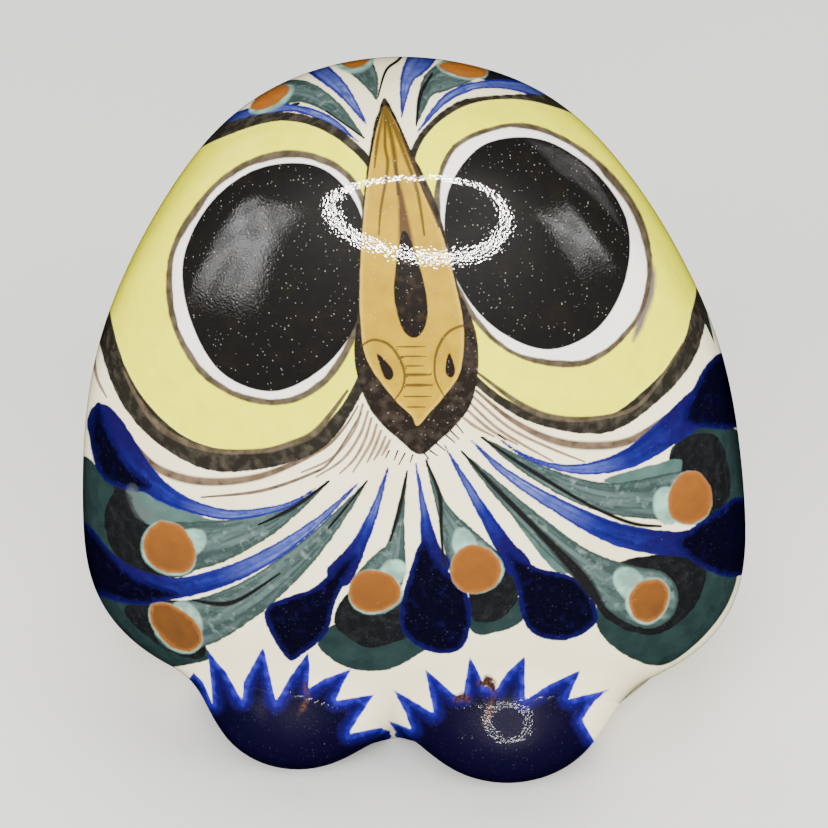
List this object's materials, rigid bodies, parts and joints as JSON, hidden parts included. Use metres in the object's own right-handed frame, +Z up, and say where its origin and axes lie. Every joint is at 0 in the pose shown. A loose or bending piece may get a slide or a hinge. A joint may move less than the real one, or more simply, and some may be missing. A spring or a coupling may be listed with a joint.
{
  "type": "owl figurine",
  "caption": "Hollow glazed stoneware owl with a gumdrop body, huge painted eyes, fanned feather strokes and two rounded feet.",
  "frame": {"origin": "on the surface the owl stands on, in the middle of the slab's seam line, under the plane where the two half shells meet", "axes": "+Z up, the face looks towards -Y, +X is the right-hand side of the face as a viewer sees it"},
  "size_m": [0.0784, 0.0643, 0.0794],
  "materials": {
    "painted_glaze": "glossy clear glaze over hand-painted cream stoneware",
    "blue_glaze": "glossy clear glaze over cobalt blue brush strokes",
    "bare_stoneware": "matte unglazed fired clay"
  },
  "bodies": {
    "root": {"front_shell": "painted_glaze", "back_shell": "painted_glaze", "left_foot": "blue_glaze", "right_foot": "blue_glaze", "base_slab": "bare_stoneware", "left_seam_coil": "bare_stoneware", "right_seam_coil": "bare_stoneware"}
  },
  "joints": []
}
